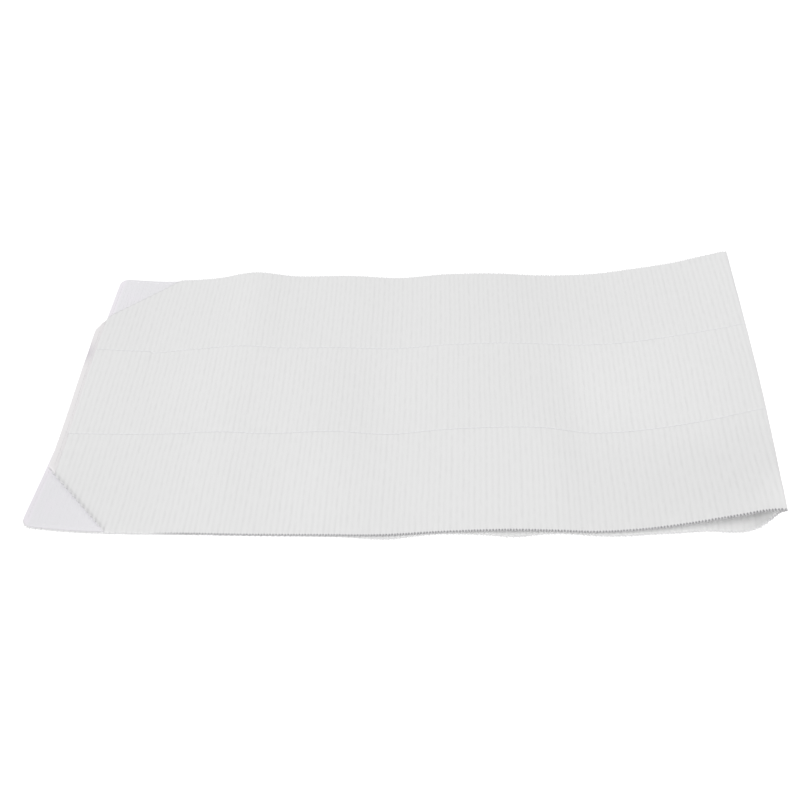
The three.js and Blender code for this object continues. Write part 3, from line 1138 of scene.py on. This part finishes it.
@dataclass
class ElasticBand:
    """One band of ribbed elastic, from end to end of the belt."""

    form: BeltForm
    place: BandPlace
    rib_count: float
    rib_start: float
    seed: int
    seam_gap: float = 0.04
    inner_columns: int = 14
    steps: int = 8
    wander_steps: int = 8000
    spare_ribs: int = 3
    end_clear: float = 1.44
    deep_groove: float = 0.19
    shallow_groove: float = 0.16
    groove_unevenness: tuple[float, float] = (0.3, 1.3)
    groove_sharpness: float = 1.6
    crest_drop: float = 0.07
    sway: float = 0.12
    sway_width: float = 61.0
    sway_turns: float = 3.1
    sway_fade: float = 0.02
    tooth: float = 0.6
    tooth_unevenness: float = 0.3
    tooth_phase: float = 1.0
    tooth_fade: float = 0.7
    cut_tooth: float = 0.4
    cut_spread: float = 2.6
    cut_least: float = 0.3
    rim: Row = (0.0, 0.25, 0.6, 1.2)
    end_rim: Row = (0.35, 0.75, 0.95, 1.0)
    edge_rim: Row = (0.8, 0.96, 1.0, 1.0)
    seam_rim: Row = (0.84, 0.97, 1.0, 1.0)
    # How much painted shade the rims carry, from the rim in, at the long edges and at the two cuts.
    edge_raw: Row = (1.0, 0.4, 0.0, 0.0)
    front_cut_raw: Row = (0.46, 0.42, 0.3, 0.05)
    back_cut_raw: Row = (0.5, 0.42, 0.25, 0.0)
    # Painted shade along the seams, from the rim in.
    seam_shade: Row = (1.0, 0.6, 0.1, 0.0)
    # How strong the rims' painted shade is along the belt, by tooth, and at the cut's ticks.
    raw_run: Row = (0.08, 0.105, 0.5, 0.515, 0.93, 0.95)
    raw_level: Row = (0.12, 1.0, 1.0, 0.3, 0.2, 0.25)
    raw_tooth: float = 0.3
    cut_level: float = 0.65
    cut_tick: float = 0.18
    cut_tick_change: float = 0.12
    cut_tick_turn: float = 2.9

    def stations(self) -> tuple[Array, Array]:
        """Sets out the band's cross-sections, with one on each crest and in each groove.

        Returns:
            Their shares of the belt's length, and where they lie in the count of ribs.
        """
        share = np.linspace(0, 1, self.wander_steps)
        ribs = self.rib_start + self.rib_count * share
        ribs = ribs + sum(
            wander.reach * np.sin(TURN * (wander.turns * share + self.seed * wander.phase))
            for wander in RIB_WANDERS
        )
        first, last = math.ceil(ribs[0] * self.steps), math.floor(ribs[-1] * self.steps)
        even = np.interp(np.arange(first, last + 1) / self.steps, ribs, share)
        length = self.form.length(0.0)
        ends, clear = np.array(self.rim) / length, self.end_clear / length
        even = even[(even > clear) & (even < 1 - clear)]
        shares = np.concatenate([ends, even, 1 - ends[::-1]])
        return shares, np.interp(shares, share, ribs)

    def by_side(self, edge: Pick, seam: Pick) -> tuple[Pick, Pick]:
        """Picks what the band's front rim and its back rim take.

        Args:
            edge: What a rim takes that is the belt's edge.
            seam: What a rim takes that is sewn to the next band.

        Returns:
            What the front rim takes, and what the back rim takes.
        """
        front, back = self.place is BandPlace.FRONT, self.place is BandPlace.BACK
        return edge if front else seam, edge if back else seam

    def rims(self, share: Array) -> tuple[Array, Array]:
        """Follows the band's two long rims: the belt's edges, or its seams.

        Args:
            share: Shares of the belt's length.

        Returns:
            The front rim's and the back rim's places across the belt.
        """
        seam = np.full_like(share, self.form.seam)
        lines = [self.form.edge(share, Edge.FRONT), -seam, seam, self.form.edge(share, Edge.BACK)]
        front, back = lines[self.place.value], lines[self.place.value + 1]
        front_gap, back_gap = self.by_side(0.0, self.seam_gap / 2)
        return front + front_gap, back - back_gap

    def places(self, share: Array, ribs: Array) -> Array:
        """Spreads columns across the band, close at its rims, with fine teeth along the belt's edges.

        Args:
            share: Shares of the belt's length.
            ribs: The count of ribs there.

        Returns:
            The places across the belt, station by column.
        """
        cut = self.is_cut(share)
        rim = np.array(self.rim)
        spread = np.where(cut & (self.place is BandPlace.FRONT), self.cut_spread, 1.0)
        front_rim = rim * spread[:, None]
        front, back = (edge[:, None] for edge in self.rims(share))
        inner = np.linspace(0, 1, self.inner_columns + 2)[1:-1]
        first, last = front + front_rim[:, -1:], back - rim[-1]
        y = np.concatenate([front + front_rim, first + (last - first) * inner, back - rim[::-1]], axis=1)
        uneven = self.tooth_unevenness * np.cos(TURN * ribs + self.tooth_phase)
        edge_tooth = self.tooth * (np.cos(2 * TURN * ribs) + uneven)
        tooth = np.where(cut, self.cut_tooth * np.cos(TURN * ribs), edge_tooth)
        inset = tooth[:, None] * np.exp(-rim / self.tooth_fade)
        front_inset, back_inset = self.by_side(inset, 0 * inset)
        y[:, : len(rim)] += front_inset
        y[:, -len(rim) :] -= back_inset[:, ::-1]
        return y

    def is_cut(self, share: Array) -> Array:
        """Tells where the band's outer rim is a cut corner of the upper layer.

        Args:
            share: Shares of the belt's length.

        Returns:
            Whether each place is on the cut.
        """
        edge = Edge.FRONT if self.place is BandPlace.FRONT else Edge.BACK
        inset = self.form.half_width - np.abs(self.form.edge(share, edge))
        return (inset > self.cut_least) & (share < self.form.fold_share)

    def half_thickness(self, share: Array, ribs: Array) -> Array:
        """Finds half the band's thickness, with its ribs, its grooves and its rounded rims.

        Args:
            share: Shares of the belt's length.
            ribs: The count of ribs there.

        Returns:
            Half the thickness, station by column.
        """
        shape = (int(ribs[-1]) + self.spare_ribs, self.inner_columns + 2 * len(self.rim))
        rng = np.random.default_rng(self.seed)
        uneven = rng.uniform(*self.groove_unevenness, shape)
        uneven[:, 1:-1] = (uneven[:, :-2] + 2 * uneven[:, 1:-1] + uneven[:, 2:]) / 4
        crest_drop = rng.uniform(0.0, self.crest_drop, shape)
        nearest = np.rint(ribs).astype(int)
        depth = np.where(nearest % 2 == 0, self.deep_groove, self.shallow_groove)
        off_crest = np.abs(2 * (ribs - np.floor(ribs)) - 1)
        groove = (depth * off_crest**self.groove_sharpness)[:, None] * uneven[nearest]
        drop = (1 - off_crest**2)[:, None] * crest_drop[np.floor(ribs).astype(int)]
        to_end = np.minimum(share, 1 - share) * self.form.length(0.0)
        end_round = np.interp(to_end, self.rim, self.end_rim)
        front, back = self.by_side(self.edge_rim, self.seam_rim)
        side_round = np.concatenate([front, np.ones(self.inner_columns), back[::-1]])
        return (self.form.half_wall - groove - drop) * side_round * end_round[:, None]

    def rim_marks(self, share: Array, ribs: Array) -> tuple[Array, Array]:
        """Marks the painted shade on the rims of the belt's long edges and cut corners, and the painted
        shade along its seams.

        Args:
            share: Shares of the belt's length.
            ribs: The count of ribs there.

        Returns:
            The mark of painted shade on the rims and the mark of painted shade along the seams, station by
            column, 1 on a rim and falling to 0 just inside it.
        """
        inside = np.zeros((len(share), self.inner_columns))
        none = np.zeros((len(share), len(self.rim)))
        # Painted shade: the rims are darkened where they lie in shade, most on the upper layer, and at the
        # cut corners in ticks at each rib where the cut edge casts its shadow.
        teeth = 1 - self.raw_tooth + self.raw_tooth * np.cos(2 * TURN * ribs)
        gap = np.interp(share, self.raw_run, self.raw_level) * teeth
        tick = self.cut_tick + self.cut_tick_change * np.sin(self.cut_tick_turn * ribs)
        cut_level = self.cut_level + np.cos(TURN * ribs) * tick
        cut_shade = self.front_cut_raw if self.place is BandPlace.FRONT else self.back_cut_raw
        cut = self.is_cut(share)[:, None]
        rim_shade = np.where(cut, cut_level[:, None] * cut_shade, gap[:, None] * self.edge_raw)
        sides = (self.by_side(rim_shade, none), self.by_side(none, none + self.seam_shade))
        return tuple(np.concatenate([front, inside, back[:, ::-1]], axis=1) for front, back in sides)

    def build(self, material: bpy.types.Material) -> None:
        """Args:
            material: The elastic's material.
        """
        share, ribs = self.stations()
        y = self.places(share, ribs)
        half = self.half_thickness(share, ribs)[..., None]
        turns = y / self.sway_width + self.sway_turns * share[:, None]
        fade = np.clip(np.minimum(share, 1 - share) / self.sway_fade, 0, 1)[:, None]
        sway = self.sway * np.sin(TURN * turns + self.seed) * fade
        point, outward = self.form.lay(share[:, None] + sway / self.form.length(0.0), y)
        outer, inner = point + outward * half, point - outward * half
        outer[..., 2] = np.maximum(outer[..., 2], 0.0)
        rim_shade, seam = self.rim_marks(share, ribs)
        marks = {"rib": ribs[:, None], "across": y, "rim_shade": rim_shade, "seam": seam}
        piece = make_sheet(self.place.band, outer, inner, marks)
        dress(piece, material)
        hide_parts(f"{self.place.band}_upper", f"{self.place.band}_lower")
        front, back = self.rims(share)
        flat = (float((back - front).max()) * MM, float(self.form.length(y).max()) * MM)
        cut = (back - front) * self.form.length((front + back) / 2)
        area = float(((cut[1:] + cut[:-1]) / 2 * np.diff(share)).sum())


@dataclass
class SeamThread:
    """The short stitches that join two bands edge to edge, sunk in the groove between them."""

    form: BeltForm
    name: str
    across: float
    pitch: float = 2.4
    slant: float = 0.8
    reach: float = 0.25
    clear: float = 6.5
    strand: Strand = Strand(0.08, 5)
    place: Row = (-1.0, -0.6, 0.0, 0.6, 1.0)
    height: Row = (0.37, 0.54, 0.56, 0.54, 0.37)

    def build(self, material: bpy.types.Material) -> None:
        """Makes the stitches of both faces and dresses them.

        Args:
            material: The thread's material.
        """
        length = float(self.form.length(self.across))
        along = np.arange(self.clear, length - self.clear, self.pitch)
        place, height = np.array(self.place), np.array(self.height)
        share = (along[:, None] + place * self.slant) / length
        y = np.broadcast_to(self.across + place * self.reach, share.shape)
        point, outward = self.form.lay(share, y)
        paths = np.concatenate([point + outward * (face.value * height)[:, None] for face in Face])
        up = np.concatenate([outward[:, 2] * face.value for face in Face])
        piece = make_tubes(self.name, paths, up, self.strand, {"twist": place})
        dress(piece, material)


@dataclass
class ElasticBands:
    """The three bands of the belt and the two seams that join them."""

    form: BeltForm

    def build(self, elastic: bpy.types.Material, thread: bpy.types.Material) -> None:
        """Makes the bands and their seams.

        Args:
            elastic: The elastic's material.
            thread: The thread's material.
        """
        ElasticBand(self.form, BandPlace.FRONT, rib_count=261.6, rib_start=0.4, seed=3).build(elastic)
        ElasticBand(self.form, BandPlace.MIDDLE, rib_count=262.9, rib_start=1.1, seed=5).build(elastic)
        ElasticBand(self.form, BandPlace.BACK, rib_count=262.2, rib_start=0.7, seed=8).build(elastic)
        SeamThread(self.form, "front_seam_thread", -self.form.seam).build(thread)
        SeamThread(self.form, "back_seam_thread", self.form.seam).build(thread)


@dataclass
class HookPanel:
    """The hook tape on the lower layer's inner face: its woven base, its hooks and its sewing."""

    form: BeltForm
    length: float = 90.0
    inset: float = 0.35
    lift: float = 0.05
    base: float = 0.5
    selvage: float = SELVAGE
    selvage_drop: float = 0.12
    selvage_ease: float = 0.5
    row_ridge: float = 0.015
    row_pitch: float = HOOK_ROW
    step: float = 0.75
    columns: int = 78
    first_step: float = 0.9
    last_step: float = 0.5
    end_rim: Row = (0.0, 0.15, 0.4)
    end_round: Row = (0.6, 0.9)
    side: Row = (0.0, 0.12, 0.3, 0.6)
    side_round: Row = (0.5, 0.85, 1.0, 1.0)
    # How much painted shade the tape's side rims carry, from the edge in.
    side_rim: Row = (1.0, 0.7, 0.15, 0.0)
    hook_pitch: float = 1.2
    hook_height: float = 0.28
    hook_strand: Strand = Strand(0.08, 3)
    hook_sink: float = 0.05
    hook_clear: float = 0.8
    hook_side_clear: float = 1.0
    hook_end_clear: float = 1.5
    hook_shift_across: float = 0.12
    hook_shift_along: float = 0.1
    hook_bend: tuple[float, float] = (0.8, 1.1)
    hook_seed: int = 11
    stitch: Stitch = Stitch(2.4, 0.5, Strand(0.13, 6), (-0.14, 0.03, 0.06, 0.03, -0.14))
    sewing_inset: float = 2.4
    sewing_start: float = 5.0
    sewing_stop: float = 4.0
    sewing_side_stop: float = 1.0

    def half_width(self, inward: Array) -> Array:
        """Half the tape's width at a distance in from the belt's end, with its rounded corners."""
        return self.form.half_width - self.inset - self.form.rounded(inward - self.inset)

    def top(self, inward: Array) -> Array:
        """Finds how far the tape's face stands off the middle surface, lower along its selvage.

        Args:
            inward: Distances in from the belt's lower end.

        Returns:
            The heights.
        """
        ease = np.clip((inward - self.selvage + self.selvage_ease) / (2 * self.selvage_ease), 0, 1)
        ridge = self.row_ridge * np.cos(TURN * inward / self.row_pitch) * ease
        return self.form.half_wall + self.lift + self.base - self.selvage_drop * (1 - ease) + ridge

    def lay(self, inward: Array, y: Array) -> tuple[Array, Array]:
        """Finds places at a distance in from the belt's lower end.

        Args:
            inward: The distances.
            y: The places across the belt.

        Returns:
            The middle surface's points, and the directions off the tape's face.
        """
        point, outward = self.form.lay(1 - inward / self.form.length(y), y)
        return point, -outward

    def build_tape(self, material: bpy.types.Material) -> bpy.types.Object:
        """Makes the woven base and dresses it.

        Args:
            material: The tape's material.

        Returns:
            The tape.
        """
        rim, side = np.array(self.end_rim), np.array(self.side)
        even = np.arange(self.inset + self.first_step, self.length - self.last_step, self.step)
        inward = np.concatenate([self.inset + rim, even, self.length - rim[::-1]])[:, None]
        half = self.half_width(inward)
        middle = np.linspace(-1, 1, self.columns)[1:-1] * (half - side[-1])
        y = np.concatenate([side - half, middle, half - side[::-1]], axis=1)
        inward = np.broadcast_to(inward, y.shape)
        point, up = self.lay(inward, y)
        under = self.form.half_wall + self.lift
        full = np.ones(self.columns - 2)
        body = (self.top(inward) - under) * np.concatenate([self.side_round, full, self.side_round[::-1]])
        ends = np.array(self.end_round)[:, None]
        body[: len(ends)] *= ends
        body[-len(ends) :] *= ends[::-1]
        face = point + up * (under + body)[..., None]
        rims = np.concatenate([self.side_rim, 0 * full, self.side_rim[::-1]])
        marks = {"rim": rims, "inward": inward, "across": y}
        piece = make_sheet("hook_tape", face, point + up * under, marks)
        dress(piece, material)
        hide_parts("hook_panel")
        return piece

    def build_hooks(self, material: bpy.types.Material) -> bpy.types.Object:
        """Makes the rows of hooks as one joined mesh and dresses them.

        Args:
            material: The filament's material.

        Returns:
            The hooks.
        """
        rows = np.arange(self.selvage + self.row_pitch, self.length - self.hook_end_clear, self.row_pitch)
        odd = (np.arange(len(rows)) % 2)[:, None]
        reach = self.form.half_width - self.inset - self.hook_side_clear
        y = np.arange(-reach, reach, self.hook_pitch) + odd * self.hook_pitch / 2
        rng = np.random.default_rng(self.hook_seed)
        y = y + rng.uniform(-self.hook_shift_across, self.hook_shift_across, y.shape)
        inward = rows[:, None] + rng.uniform(-self.hook_shift_along, self.hook_shift_along, y.shape)
        bend = (1.0 - 2.0 * odd) * rng.uniform(*self.hook_bend, y.shape)
        kept = np.abs(y) < self.half_width(inward) - self.hook_clear
        inward, y, bend = inward[kept], y[kept], bend[kept]
        point, up = self.lay(inward, y)
        foot = point + up * (self.top(inward) - self.hook_sink)[:, None]
        across = np.array([0.0, 1.0, 0.0])
        over = np.cross(up, across) * bend[:, None]
        rise, lean, pale = np.array(HOOK_SHAPE).T
        bent = up[:, None] * (rise * self.hook_height)[:, None] + over[:, None] * lean[:, None]
        turned = np.broadcast_to(across, up.shape)
        piece = make_tubes("hooks", foot[:, None] + bent, turned, self.hook_strand, {"rise": pale})
        dress(piece, material)
        return piece

    def build_sewing(self, material: bpy.types.Material) -> bpy.types.Object:
        """Makes the stitches round the tape's border and dresses them.

        Args:
            material: The thread's material.

        Returns:
            The joined stitches.
        """
        side = self.form.half_width - self.inset - self.sewing_inset
        near, far = self.inset + self.sewing_inset, self.length - self.sewing_inset
        across = self.stitch.spread(-side + self.sewing_start, side - self.sewing_stop)
        along = self.stitch.spread(near + self.sewing_start, far - self.sewing_side_stop)
        lines = [(np.full_like(across, inward), across) for inward in (near, far)]
        lines += [(along, np.full_like(along, edge.value * side)) for edge in Edge]
        inward, y = (np.concatenate(part) for part in zip(*lines))
        point, up = self.lay(inward, y)
        paths = point + up * (self.top(inward) + self.stitch.height)[..., None]
        twist = self.stitch.twist
        piece = make_tubes("hook_tape_sewing", paths, up[:, 2], self.stitch.strand, {"twist": twist})
        dress(piece, material)
        return piece

    def build(self, tape: bpy.types.Material, hook: bpy.types.Material, thread: bpy.types.Material) -> None:
        """Makes the whole panel.

        Args:
            tape: The tape's material.
            hook: The filament's material.
            thread: The thread's material.
        """
        base = self.build_tape(tape)
        with_it = [self.build_hooks(hook), self.build_sewing(thread)]
        flat = ((self.length - self.inset) * MM, 2 * (self.form.half_width - self.inset) * MM)


@dataclass
class EndBinding:
    """The narrow tape folded round the upper layer's straight end, and its line of stitches."""

    form: BeltForm
    overlap: float = 5.0
    tape: float = 0.45
    clear: float = 0.02
    end_clearance: float = 0.7
    step: float = 0.8
    turn_steps: int = 10
    flat_steps: int = 5
    hem: Row = (0.0, 0.3, 0.6)
    end_thin: float = 0.2
    end_run: float = 0.9
    edge_thin: float = 0.15
    hug: float = 0.3
    hug_run: float = 1.75
    waver_from: float = 3.0
    waver_run: float = 2.0
    swell: float = 0.3
    swell_in: float = 2.6
    swell_run: float = 1.5
    # Where a patch of painted shade lies on the tape's folded edge, across the belt and in from the fold,
    # and how far painted shade reaches in from the tape's ends.
    dent_across: float = 34.0
    dent_length: float = 9.0
    hollow_reach: float = 5.5
    hollow_fade: float = 5.0
    dark_end: float = 0.6
    stitch: Stitch = Stitch(2.3, 0.6, Strand(0.12, 6), (-0.14, -0.05, -0.03, -0.05, -0.14))
    stitch_back: float = 3.2
    sewing_clear: float = 2.0

    def profile(self, half: float) -> tuple[Array, Array]:
        """Follows one face of the folded tape, from under the elastic, round its end and over it.

        Args:
            half: How far the face stands off the middle surface.

        Returns:
            The distances back from the elastic's end, and the heights over the middle surface.
        """
        centre = self.form.half_wall
        flat = np.linspace(self.overlap, centre, self.flat_steps)[1:-1]
        flat = np.concatenate([self.overlap - np.array(self.hem), flat])
        angle = np.linspace(-math.pi / 2, math.pi / 2, self.turn_steps)
        back = np.concatenate([flat, centre - half * np.cos(angle), flat[::-1]])
        over = np.concatenate([np.full(len(flat), -half), half * np.sin(angle), np.full(len(flat), half)])
        return back, over

    def lay(self, back: Array, over: Array, y: Array) -> Array:
        """Places points of the tape.

        Args:
            back: Distances back from the elastic's end.
            over: Heights over the middle surface.
            y: Places across the belt.

        Returns:
            The points.
        """
        point, outward = self.form.lay(np.maximum(back, 0) / self.form.length(y), y)
        off = y - self.form.back_corner[1] + self.swell_in
        swell = 1 + self.swell * np.exp(-((off / self.swell_run) ** 2))
        point = point + outward * (over * swell)[..., None]
        point[..., 0] += np.minimum(back, 0)
        return point

    def build(self, tape: bpy.types.Material, thread: bpy.types.Material) -> None:
        """Args:
            tape: The tape's material.
            thread: The thread's material.
        """
        near = self.form.half_wall + self.clear
        back, over = self.profile(near)
        outer_back, outer_over = self.profile(near + self.tape)
        share = np.maximum(back, 0) / self.form.length(0.0)
        start = self.form.edge(share, Edge.FRONT) + self.end_clearance
        stop = self.form.edge(share, Edge.BACK) - self.end_clearance
        stations = int((stop - start).max() / self.step) + 1
        y = start + (stop - start) * np.linspace(0, 1, stations)[:, None]
        to_end = np.minimum(y - start, stop - y)
        free = np.clip((self.overlap - back) / self.hug_run, 0, 1)
        end_taper = self.end_thin + (1 - self.end_thin) * np.clip(to_end / self.end_run, 0, 1)
        taper = end_taper * (self.edge_thin + (1 - self.edge_thin) * free)
        hugged = over * (1 - self.hug * (1 - free))
        waver = sum(waver.reach * np.sin(TURN * y / waver.length) for waver in BINDING_WAVERS)
        waver = waver * np.clip((back - self.waver_from) / self.waver_run, 0, 1)
        outer_back = back + (outer_back - back) * taper + waver
        outer = self.lay(outer_back, hugged + (outer_over - over) * taper, y)
        inner = self.lay(back + waver, np.broadcast_to(hugged, y.shape), y)
        # Painted shade: a patch on the tape's folded edge, and both of the tape's ends.
        beside = np.exp(-(((y - self.dent_across) / self.dent_length) ** 2))
        patch_shade = beside * np.clip((self.hollow_reach - back) / self.hollow_fade, 0, 1)
        patch_shade = np.maximum(patch_shade, np.clip(1 - to_end / self.dark_end, 0, 1))
        around = np.concatenate([[0.0], np.cumsum(np.hypot(np.diff(back), np.diff(over)))])
        marks = {"around": around, "lengthwise": y, "patch_shade": patch_shade}
        piece = make_sheet("binding_tape", outer, inner, marks)
        dress(piece, tape)
        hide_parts("end_binding")
        sewing = self.build_sewing(thread, start.max(), stop.min(), near + self.tape)
        flat = (float(around[-1]) * MM, float((stop - start).max()) * MM)

    def build_sewing(
        self, thread: bpy.types.Material, start: float, stop: float, half: float
    ) -> bpy.types.Object:
        """Makes the line of stitches on both sides of the tape.

        Args:
            thread: The thread's material.
            start: Where the tape starts across the belt.
            stop: Where it stops.
            half: How far its outer face stands off the middle surface.

        Returns:
            The joined stitches.
        """
        y = self.stitch.spread(start + self.sewing_clear, stop - self.sewing_clear)
        back = np.full(y.shape, self.stitch_back)
        over = np.broadcast_to(half + np.array(self.stitch.height), y.shape)
        paths = np.concatenate([self.lay(back, face.value * over, y) for face in Face])
        up = np.concatenate([np.tile([0.0, 0.0, face.value], (len(y), 1)) for face in Face])
        twist = self.stitch.twist
        piece = make_tubes("binding_sewing", paths, up, self.stitch.strand, {"twist": twist})
        dress(piece, thread)
        return piece


@dataclass
class Studio:
    """The pale floor, the soft light and the camera."""

    floor_radius: float = 4.0
    floor_sides: int = 96
    floor_drop: float = 0.0002
    sky_colour: Colour = (1.0, 1.0, 1.0, 1.0)
    sky: float = 0.46
    key_power: float = 2.06
    key_spread: float = 30.0
    key_place: tuple[float, float, float] = (-0.1, -0.57, 0.82)
    eye: tuple[float, float, float] = (37.41, -452.28, 433.94)
    yaw: float = -0.0950
    pitch: float = 0.7705
    roll: float = -0.0747
    lens: float = 45.0
    sensor: float = 36.0
    nearest: float = 0.01

    def build(self, floor: bpy.types.Material) -> None:
        """Sets up the floor, the light and the camera.

        Args:
            floor: The floor's material.
        """
        self.build_floor(floor)
        self.build_light()
        self.build_camera()

    def build_floor(self, material: bpy.types.Material) -> None:
        """Lays a wide round floor just under the belt.

        Args:
            material: The floor's material.
        """
        angle = np.arange(self.floor_sides) * TURN / self.floor_sides
        rim = np.stack([np.cos(angle), np.sin(angle), np.zeros_like(angle)], axis=1) * self.floor_radius
        rim[:, 2] = -self.floor_drop
        mesh = bpy.data.meshes.new("floor")
        mesh.from_pydata(rim.tolist(), [], [list(range(self.floor_sides))])
        mesh.materials.append(material)
        floor = bpy.data.objects.new("floor", mesh)
        bpy.context.scene.collection.objects.link(floor)

    def build_light(self) -> None:
        """Lights the scene evenly from all round, with one large soft lamp in front and above."""
        scene = bpy.context.scene
        scene.view_settings.view_transform = "Standard"
        scene.world = bpy.data.worlds.new("studio")
        scene.world.use_nodes = True
        sky = scene.world.node_tree.nodes["Background"]
        sky.inputs["Color"].default_value = self.sky_colour
        sky.inputs["Strength"].default_value = self.sky
        lamp = bpy.data.lights.new("key", "SUN")
        lamp.energy = self.key_power
        lamp.angle = math.radians(self.key_spread)
        key = bpy.data.objects.new("key", lamp)
        key.location = self.key_place
        key.rotation_euler = (-Vector(self.key_place)).to_track_quat("-Z", "Y").to_euler()
        scene.collection.objects.link(key)

    def build_camera(self) -> None:
        """Stands the camera at the photograph's angle."""
        level = math.cos(self.pitch)
        ahead = Vector((math.sin(self.yaw) * level, math.cos(self.yaw) * level, -math.sin(self.pitch)))
        right = Vector((math.cos(self.yaw), -math.sin(self.yaw), 0.0))
        up = right.cross(ahead)
        turned_right = right * math.cos(self.roll) + up * math.sin(self.roll)
        turned_up = up * math.cos(self.roll) - right * math.sin(self.roll)
        stand = Matrix((turned_right, turned_up, -ahead)).transposed().to_4x4()
        stand.translation = Vector(self.eye) * MM
        view = bpy.data.cameras.new("view")
        view.lens = self.lens
        view.sensor_width = self.sensor
        view.clip_start = self.nearest
        camera = bpy.data.objects.new("view", view)
        camera.matrix_world = stand
        bpy.context.scene.collection.objects.link(camera)
        bpy.context.scene.camera = camera


def main() -> None:
    """Builds the belt piece by piece, then the studio round it."""
    logging.basicConfig(level=logging.INFO, format="%(name)s %(message)s")
    form = BeltForm()
    thread = ThreadFinish().material()
    ElasticBands(form).build(ElasticFinish().material(), SeamThreadFinish().material())
    HookPanel(form).build(HookTapeFinish().material(), HookFinish().material(), thread)
    EndBinding(form).build(BindingFinish().material(), thread)
    Studio().build(FloorFinish().material())


if __name__ == "__main__":
    main()
